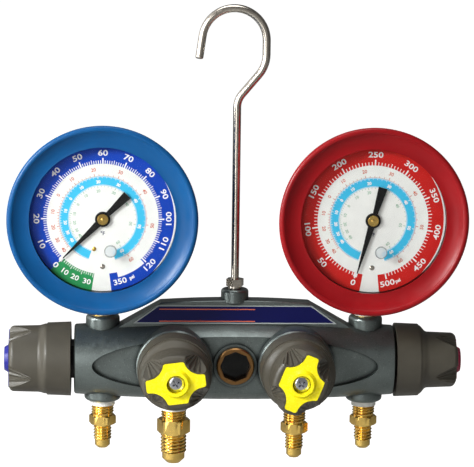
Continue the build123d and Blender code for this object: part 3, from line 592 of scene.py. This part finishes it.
def slotted_head(bm, x, y, radius, bottom, height, turned):
    """A small domed screw head with a slot, standing on the dial."""
    head = bmesh.new()
    outline = [(radius, 0), (radius, height * 0.45), (radius * 0.75, height * 0.85), (0, height)]
    lathe(head, [(0, -0.1), *outline], 32)
    cutter = bmesh.new()
    half = radius * 0.18
    corners = [(-radius - 1, -half), (radius + 1, -half), (radius + 1, half), (-radius - 1, half)]
    prism(cutter, corners, height * 0.45, height + 1)
    spin = Matrix.Rotation(math.radians(turned), 4, "Z")
    bmesh.ops.transform(cutter, matrix=spin, verts=cutter.verts)
    mesh = carve(head, cutter)
    mesh.transform(Matrix.Translation((x, y, bottom)))
    bm.from_mesh(mesh)
    bpy.data.meshes.remove(mesh)


def carve(solid, cutter):
    """The first drawing less the second, as a mesh."""
    holders = []
    for name, drawing in (("solid", solid), ("cutter", cutter)):
        bmesh.ops.recalc_face_normals(drawing, faces=drawing.faces)
        mesh = bpy.data.meshes.new(name)
        drawing.to_mesh(mesh)
        drawing.free()
        holder = bpy.data.objects.new(name, mesh)
        bpy.context.scene.collection.objects.link(holder)
        holders.append(holder)
    cut = holders[0].modifiers.new("cut", "BOOLEAN")
    cut.operation = "DIFFERENCE"
    cut.solver = "EXACT"
    cut.object = holders[1]
    bpy.context.view_layer.update()
    graph = bpy.context.evaluated_depsgraph_get()
    result = bpy.data.meshes.new_from_object(holders[0].evaluated_get(graph))
    for holder in holders:
        mesh = holder.data
        bpy.data.objects.remove(holder)
        bpy.data.meshes.remove(mesh)
    return result


def dial_hardware(gauge):
    """The dial's small screws, and the turned bush at the pointer's hub."""
    where = dial_frame(gauge)
    screws = bmesh.new()
    slotted_head(screws, 0.0, -28.3, 1.5, dial_face, 0.6, 30)
    plated = finishes["plated_steel"]
    piece(f"{gauge}_dial_screw", screws, where, "manifold", plated)
    if gauge == "low":
        pin = bmesh.new()
        slotted_head(pin, -5.0, -17.8, 1.3, dial_face, 0.5, 75)
        piece("low_dial_set_screw", pin, where, "manifold", finishes["brass"])

    bush = bmesh.new()
    outline = [
        (0, 0), (3.2, 0), (3.2, 0.75), (2.95, 0.95), (2.35, 0.95), (2.2, 0.8), (1.15, 0.8),
        (1.0, 1.0), (0.6, 1.12), (0, 1.15),
    ]
    lathe(bush, [(radius, bush_foot + rise) for radius, rise in outline], 64)
    piece(f"{gauge}_pointer_bush", bush, where, f"{gauge}_hand", finishes["brass"])


def lens_plug(gauge):
    """The milky face and the darker rim of the clear plug that stands out of a lens."""
    front = (joints[f"{gauge}_pointer_turn"]["pos_m"][1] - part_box(f"{gauge}_gauge_lens")[0].y) / MM
    where = dial_frame(gauge) @ Matrix.Translation((*plug_place, front))
    inner, outer = plug_radius - plug_rim, plug_radius + 0.05
    face = bmesh.new()
    rod(face, inner, 0.01, 0.05)
    rim = bmesh.new()
    band(rim, inner, outer, 0, 360, -plug_height + 0.02, 0.06, step=7.5)
    for name, drawing in (("face", face), ("rim", rim)):
        finish = plug_finishes[name]
        piece(f"{gauge}_plug_{name}", drawing, where, "manifold", finish)


for gauge in gauges:
    dial(gauge)
    dial_hardware(gauge)
    lens_plug(gauge)


# ---------------------------------------------------------------- hose ports
pipe_depth, pipe_pitch, hose_depth = 0.7, 1.6, 0.8
hex_chamfer, hex_turned = 0.5, 1.03
hex_spin = math.radians(38)
bore_depth, nose_lip = 9.0, 0.5


def thread_radius(height, angle, major, depth, pitch):
    """A 60 degree thread with small flats, as a radius that depends on height and angle."""
    turn = (height / pitch - angle / (2 * math.pi)) % 1.0
    flank = min(abs(2 * turn - 1) * 1.35, 1.0)
    return major - depth * flank


def threaded(bm, bottom, top, major, depth, pitch, first, last, steps=48, per_pitch=10):
    """A threaded length of rod, closed, that runs out to a radius at either end."""
    count = round((top - bottom) / pitch * per_pitch)
    rows = []
    for index in range(count + 1):
        height = bottom + (top - bottom) * index / count
        row = []
        for step in range(steps):
            angle = 2 * math.pi * step / steps
            radius = thread_radius(height, angle, major, depth, pitch)
            run_in = first + (height - bottom) * 1.2
            run_out = last + (top - height) * 1.2
            radius = min(radius, run_in, run_out)
            row.append(bm.verts.new((radius * math.cos(angle), radius * math.sin(angle), height)))
        rows.append(row)
    join_rows(bm, rows)
    close_ends(bm, rows)


def hexagon(bm, flats, bottom, top):
    """A hexagon with its corners turned off to a cone at both ends."""
    corner, turned = flats / 2 / math.cos(math.radians(30)), flats / 2 * hex_turned
    rows = []
    for height, limit in (
        (bottom, turned), (bottom + hex_chamfer, corner),
        (top - hex_chamfer, corner), (top, turned),
    ):
        row = []
        for step in range(72):
            angle = 2 * math.pi * step / 72
            to_flat = (angle + math.radians(30)) % math.radians(60) - math.radians(30)
            radius = min(flats / 2 / math.cos(to_flat), limit)
            x, y = radius * math.cos(angle + hex_spin), radius * math.sin(angle + hex_spin)
            row.append(bm.verts.new((x, y, height)))
        rows.append(row)
    join_rows(bm, rows)
    close_ends(bm, rows)


def flare_fitting(name, port, sizes):
    """A brass flare fitting: pipe thread, hexagon, groove, hose thread, cone and bore."""
    low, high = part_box(name)
    centre = (low + high) / 2
    flats, neck, major, nose, bore, pitch = port
    hex_back, hex_front, thread_back, thread_front, end = sizes
    where = place((centre.x, centre.y, low.z + end * MM), (1, 0, 0), (0, 0, -1))
    fitting = bmesh.new()
    groove = major - 0.95

    threaded(
        fitting, 0.4, hex_back - 0.9, neck, pipe_depth, pipe_pitch, neck - 0.5, neck - 0.9,
    )
    rod(fitting, neck - 0.9, hex_back - 1.2, hex_back + 0.5)
    hexagon(fitting, flats, hex_back, hex_front)
    rod(fitting, groove, hex_front - 0.5, thread_back + 0.3)
    threaded(
        fitting, thread_back, thread_front, major, hose_depth, pitch, groove + 0.3, groove + 0.2,
    )
    rim, foot = bore + nose_lip, thread_front - 0.4
    lathe(
        fitting,
        [
            (0, foot), (nose, foot), (nose, end - (nose - bore - nose_lip)), (rim, end),
            (bore, end - 0.1), (bore, end - bore_depth), (0, end - bore_depth),
        ],
        64,
    )
    made = piece(f"{name}_fitting", fitting, where, "manifold", finishes["brass"], 25)
    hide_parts(name)


# Across flats; radii of pipe thread, hose thread, nose and bore; hose thread's pitch.
quarter = (14.29, 6.85, 5.555, 4.6, 2.4, 1.9)
three_eighths = (17.46, 7.65, 7.94, 6.8, 3.55, 2.1)
# Heights of the hexagon's back and front, the thread's back and front, and the nose.
end_port = (9.6, 15.1, 16.4, 24.7, 29.8)
flare_fitting("low_side_port", quarter, end_port)
flare_fitting("vacuum_port", three_eighths, (9.0, 17.5, 18.6, 29.5, 35.9))
flare_fitting("charge_port", quarter, (11.0, 17.0, 18.5, 27.3, 32.5))
flare_fitting("high_side_port", quarter, end_port)


# ---------------------------------------------------------------- knobs
knob_length, knob_gap = 37.0, 1.0
scoop_distance, scoop_length = 21.0, 16.0
scoop_tip, scoop_radius = 1.2, 9.3
grip_arm, grip_side = 20.2, 17.0
front_rounding = 3.0
scoop_angle = 41.0
cap_seat, cap_floor = 34.0, 1.4
rib_count, rib_samples = 4, 24
rib_spacing = math.radians(24)
rib_rise, rib_sunk = 0.75, 0.15
screw_radius, screw_height = 5.0, 2.5
recess_reach, recess_half, recess_floor = 2.5, 0.55, 0.7


def valve_frame(valve, opened, arm):
    """Local frame on a knob's axis, from its back, with x along the narrow arms."""
    joint = joints[f"{valve}_knob_turn"]
    axis = Vector(joint["axis"])
    origin = Vector(joint["pos_m"]) + axis * (opened + knob_gap) * MM
    return place(origin, arm, axis)


def grip_reach(angle, height):
    """Radius of the grip's outside at an angle and a height, front rounding included."""
    reach = 1 / math.hypot(math.cos(angle) / grip_arm, math.sin(angle) / grip_side)
    into_round = height - (knob_length - front_rounding)
    if into_round > 0:
        reach -= front_rounding - math.sqrt(max(front_rounding**2 - into_round**2, 0.0))
    return reach


def spoke(angle):
    """A direction across the axis at an angle."""
    return Vector((math.cos(angle), math.sin(angle), 0))


def pleats(bm):
    """Ribs that fan out over the four scoops of a grip."""
    half = rib_spacing * 0.36
    for corner in (scoop_angle, 180 - scoop_angle, 180 + scoop_angle, -scoop_angle):
        outward = math.radians(corner)
        centre = Vector(
            (scoop_distance * math.cos(outward), scoop_distance * math.sin(outward), 0)
        )
        for rib in range(rib_count):
            lean = outward + math.pi + (rib - (rib_count - 1) / 2) * rib_spacing
            line = []
            for index in range(rib_samples + 1):
                share = index / rib_samples
                height = knob_length - scoop_length * (1 - share)
                radius = scoop_tip + (scoop_radius - scoop_tip) * share
                foot = centre + spoke(lean) * radius
                inside = grip_reach(math.atan2(foot.y, foot.x), height) - foot.length
                if inside > 0.15:
                    line.append((height, radius, inside))
            if len(line) < 4:
                continue
            rows = []
            for height, radius, inside in line:
                rise = min(rib_rise, inside * 0.8, radius * 0.16)
                row = []
                for side, lift in (
                    (-half, -rib_sunk), (-half * 0.2, rise), (half * 0.2, rise), (half, -rib_sunk),
                ):
                    point = centre + spoke(lean + side) * (radius - lift)
                    row.append(bm.verts.new((point.x, point.y, height)))
                rows.append(row)
            join_rows(bm, rows)
            close_ends(bm, rows)


def cross_head(radius, height):
    """A pan head with a cross recess, its seat at height 0."""
    head = bmesh.new()
    lathe(
        head,
        [
            (0, -0.2), (radius, -0.2), (radius, height * 0.42), (radius * 0.96, height * 0.66),
            (radius * 0.82, height * 0.86), (radius * 0.55, height * 0.97), (0, height),
        ],
        72,
    )
    cutter = bmesh.new()
    reach, half, floor = recess_reach, recess_half, recess_floor
    outline = [
        (half, half), (half, reach), (-half, reach), (-half, half),
        (-reach, half), (-reach, -half), (-half, -half), (-half, -reach),
        (half, -reach), (half, -half), (reach, -half), (reach, half),
    ]
    low = [cutter.verts.new((x * 0.45, y * 0.45, floor)) for x, y in outline]
    high = [cutter.verts.new((x, y, height + 0.3)) for x, y in outline]
    join_rows(cutter, [low, high])
    close_ends(cutter, [low, high])
    return carve(head, cutter)


def knob_details(valve, opened, arm, recess_turn):
    """Ribs in the grip's scoops, and the cross-headed cap screw."""
    where = valve_frame(valve, opened, arm)
    ribs = bmesh.new()
    pleats(ribs)
    body = f"{valve}_handle"
    piece(f"{valve}_knob_ribs", ribs, where, body, finishes["knob_plastic"])

    mesh = cross_head(screw_radius, screw_height)
    mesh.transform(Matrix.Rotation(math.radians(recess_turn), 4, "Z"))
    mesh.transform(Matrix.Translation((0, 0, cap_seat + cap_floor)))
    screw = bmesh.new()
    screw.from_mesh(mesh)
    bpy.data.meshes.remove(mesh)
    bright = finishes["bright_screw"]
    made = piece(f"{valve}_cap_screw", screw, where, body, bright)
    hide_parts(f"{valve}_screw")


def arm_of(degrees, x_axis, y_axis):
    """A direction in the plane of two axes."""
    angle = math.radians(degrees)
    return Vector(x_axis) * math.cos(angle) + Vector(y_axis) * math.sin(angle)


knob_details("low_side", 1.1, arm_of(22, (0, 0, 1), (0, 1, 0)), 10)
knob_details("high_side", 0.0, arm_of(18, (0, -1, 0), (0, 0, 1)), 35)
knob_details("vacuum", 0.6, arm_of(7, (1, 0, 0), (0, 0, 1)), 25)
knob_details("charge", 0.6, arm_of(68, (1, 0, 0), (0, 0, 1)), 62)


# ---------------------------------------------------------------- label
bracket_foot, foot_depth, top_depth, bracket_tall = 20.0, 8.5, 6.5, 15.8
label_foot, label_top = 23.4, 34.4
label_foot_half, label_top_half = 61.5, 46.0
label_face, label_ink = 0.2, 0.03
margin = 0.7
line_heights, line_half, line_left, line_right = (24.9, 32.0), 0.28, -45.5, 12.0


def label_print():
    """A pale band round the label, partly its own margin and partly a painted highlight on the casting's edge, and
    two fine orange lines along its left part.
    """
    axis = Vector(joints["low_side_knob_turn"]["pos_m"])
    lean = math.atan((foot_depth - top_depth) / bracket_tall)
    foot = Vector((0, -foot_depth * MM, axis.z + bracket_foot * MM))
    where = place(foot, (1, 0, 0), (0, -math.cos(lean), math.sin(lean)))
    low, high = [(height - bracket_foot) / math.cos(lean) for height in (label_foot, label_top)]
    slope = (label_foot_half - label_top_half) / (high - low)
    aside = margin * math.hypot(1, slope)

    def outline(inset):
        share = inset / margin
        bottom, top = low + inset, high - inset
        foot_half = label_foot_half - inset * slope - aside * share
        top_half = label_top_half + inset * slope - aside * share
        return [(-foot_half, bottom), (foot_half, bottom), (top_half, top), (-top_half, top)]

    # The pale band stands partly for the label's margin and partly for a painted highlight along the casting's
    # edge.
    border = bmesh.new()
    rows = []
    for inset, height in ((0.0, 0.0), (0.0, label_ink), (margin, label_ink), (margin, 0.0)):
        rows.append([border.verts.new((x, y, label_face + height)) for x, y in outline(inset)])
    join_rows(border, rows, loop=True)
    piece("label_margin_and_highlight", border, where, "manifold", inks["silver"])

    lines = bmesh.new()
    for height in line_heights:
        middle = (height - bracket_foot) / math.cos(lean)
        bottom, top = middle - line_half, middle + line_half
        strip = [(line_left, bottom), (line_right, bottom), (line_right, top), (line_left, top)]
        prism(lines, strip, label_face, label_face + label_ink)
    piece("label_lines", lines, where, "manifold", inks["orange"])


label_print()


# ---------------------------------------------------------------- gauge stems
# Radius and height above the valves' axis, round the tape's section.
tape_section = [(6.8, 28.0), (7.2, 28.0), (7.35, 28.3), (7.35, 29.6), (7.2, 29.9), (6.8, 29.9)]


def stem_tape(gauge):
    """White tape wound on a gauge's stem above its boss."""
    dial = Vector(joints[f"{gauge}_pointer_turn"]["pos_m"])
    axis = Vector(joints["low_side_knob_turn"]["pos_m"])
    where = place((dial.x, 0, axis.z), (1, 0, 0), (0, 0, 1))
    tape = bmesh.new()
    lathe(tape, tape_section, 72, loop=True)
    slot = "white_sealing_tape"
    piece(f"{gauge}_stem_tape", tape, where, "manifold", finishes[slot])


for gauge in gauges:
    stem_tape(gauge)


# ---------------------------------------------------------------- light, stage and camera
# Grey of the floor, and how brightly it shines to the camera, also through clear parts.
floor_grey, floor_shine = (0.40, 0.40, 0.39, 1), 0.94
# The room's light: for matt surfaces, and the dark and the pale side that glosses show.
room_light, room_dark, room_pale = 0.22, 0.1, 0.9
dark_from, pale_from = -0.3, -0.75


def area_light(name, position, target, size, power, colour=(1, 1, 1)):
    """A soft rectangular lamp."""
    data = bpy.data.lights.new(name, "AREA")
    data.shape = "RECTANGLE"
    data.size, data.size_y = size
    data.energy = power
    data.color = colour
    lamp = bpy.data.objects.new(name, data)
    lamp.location = position
    lamp.rotation_mode = "QUATERNION"
    lamp.rotation_quaternion = (Vector(target) - Vector(position)).to_track_quat("-Z", "Y")
    bpy.context.scene.collection.objects.link(lamp)


def lit_for(nodes, links, kinds):
    """1 for rays of any of the kinds, 0 for the rest."""
    paths = nodes.new("ShaderNodeLightPath")
    found = paths.outputs[kinds[0]]
    for kind in kinds[1:]:
        either = nodes.new("ShaderNodeMath")
        either.operation = "MAXIMUM"
        links.new(found, either.inputs[0])
        links.new(paths.outputs[kind], either.inputs[1])
        found = either.outputs[0]
    return found


def pale_floor():
    """A floor that keeps the shadow, and is white to the camera but not to glossy rays."""
    made = bpy.data.materials.new("pale_floor")
    made.use_nodes = True
    nodes, links = made.node_tree.nodes, made.node_tree.links
    shader = nodes["Principled BSDF"]
    shader.inputs["Base Color"].default_value = floor_grey
    shader.inputs["Roughness"].default_value = 0.9
    shader.inputs["Emission Color"].default_value = (1, 1, 1, 1)
    seen = lit_for(nodes, links, ("Is Camera Ray", "Is Transmission Ray"))
    strength = nodes.new("ShaderNodeMath")
    strength.operation = "MULTIPLY"
    strength.inputs[1].default_value = floor_shine
    links.new(seen, strength.inputs[0])
    links.new(strength.outputs[0], shader.inputs["Emission Strength"])
    return made


def blend(nodes, links, factor, low, high):
    """One number or another, by a factor."""
    mix = nodes.new("ShaderNodeMix")
    links.new(factor, mix.inputs["Factor"])
    for name, value in (("A", low), ("B", high)):
        if isinstance(value, float):
            mix.inputs[name].default_value = value
        else:
            links.new(value, mix.inputs[name])
    return mix.outputs["Result"]


def studio():
    """White for the camera; for glossy rays a room that is pale on its left side only."""
    world = bpy.data.worlds.new("studio")
    bpy.context.scene.world = world
    world.use_nodes = True
    nodes, links = world.node_tree.nodes, world.node_tree.links
    heading = nodes.new("ShaderNodeTexCoord").outputs["Generated"]
    parts = nodes.new("ShaderNodeSeparateXYZ")
    links.new(heading, parts.inputs[0])
    side = nodes.new("ShaderNodeMapRange")
    side.inputs["From Min"].default_value = dark_from
    side.inputs["From Max"].default_value = pale_from
    side.inputs["To Min"].default_value = room_dark
    side.inputs["To Max"].default_value = room_pale
    links.new(parts.outputs["X"], side.inputs["Value"])
    glossy = lit_for(nodes, links, ("Is Glossy Ray",))
    level = blend(nodes, links, glossy, room_light, side.outputs["Result"])
    seen = lit_for(nodes, links, ("Is Camera Ray", "Is Transmission Ray"))
    level = blend(nodes, links, seen, level, 1.0)
    links.new(level, nodes["Background"].inputs["Strength"])
    nodes["Background"].inputs["Color"].default_value = (1, 1, 1, 1)


centre = (Vector(cad_box[0]) + Vector(cad_box[1])) / 2
studio()
area_light("key", (-0.72, -0.54, 0.22), centre, (0.3, 0.3), 10.6, (0.98, 1.0, 1.0))
area_light("strip", (-0.62, -1.25, -0.05), centre, (0.55, 1.0), 4.6)
area_light("left", (-1.25, -0.3, 0.0), centre, (0.35, 0.9), 7.0)
area_light("fill", (0.3, -1.3, 0.1), centre, (1.5, 1.2), 0.9, (1.0, 0.97, 0.93))
area_light("top", (-0.1, -0.15, 0.9), centre, (0.9, 0.5), 4.5)

floor_mesh = bpy.data.meshes.new("floor")
floor_level = cad_box[0][2] - 0.16
reach = 12.0
corners = [(-reach, -reach), (reach, -reach), (reach, reach), (-reach, reach)]
floor_mesh.from_pydata([(x, y, floor_level) for x, y in corners], [], [(0, 1, 2, 3)])
floor_mesh.materials.append(pale_floor())
floor = bpy.data.objects.new("floor", floor_mesh)
bpy.context.scene.collection.objects.link(floor)

# The photograph's view: a little to the left of square on, and from above.
view_azimuth, view_elevation, view_roll = map(math.radians, (-2.74, 9.74, 0.77))
view_distance = 1.4
view_target = Vector((0.00087, 0.0, -0.13254))
back = Vector((
    math.sin(view_azimuth) * math.cos(view_elevation),
    -math.cos(view_azimuth) * math.cos(view_elevation),
    math.sin(view_elevation),
))
camera_data = bpy.data.cameras.new("camera")
camera_data.sensor_width = 36.0
camera_data.lens = 177.2
camera = bpy.data.objects.new("camera", camera_data)
camera.location = view_target + back * view_distance
camera.rotation_mode = "QUATERNION"
turn = (-back).to_track_quat("-Z", "Y").to_matrix() @ Matrix.Rotation(view_roll, 3, "Z")
camera.rotation_quaternion = turn.to_quaternion()
bpy.context.scene.collection.objects.link(camera)
bpy.context.scene.camera = camera
bpy.context.scene.view_settings.view_transform = "Standard"
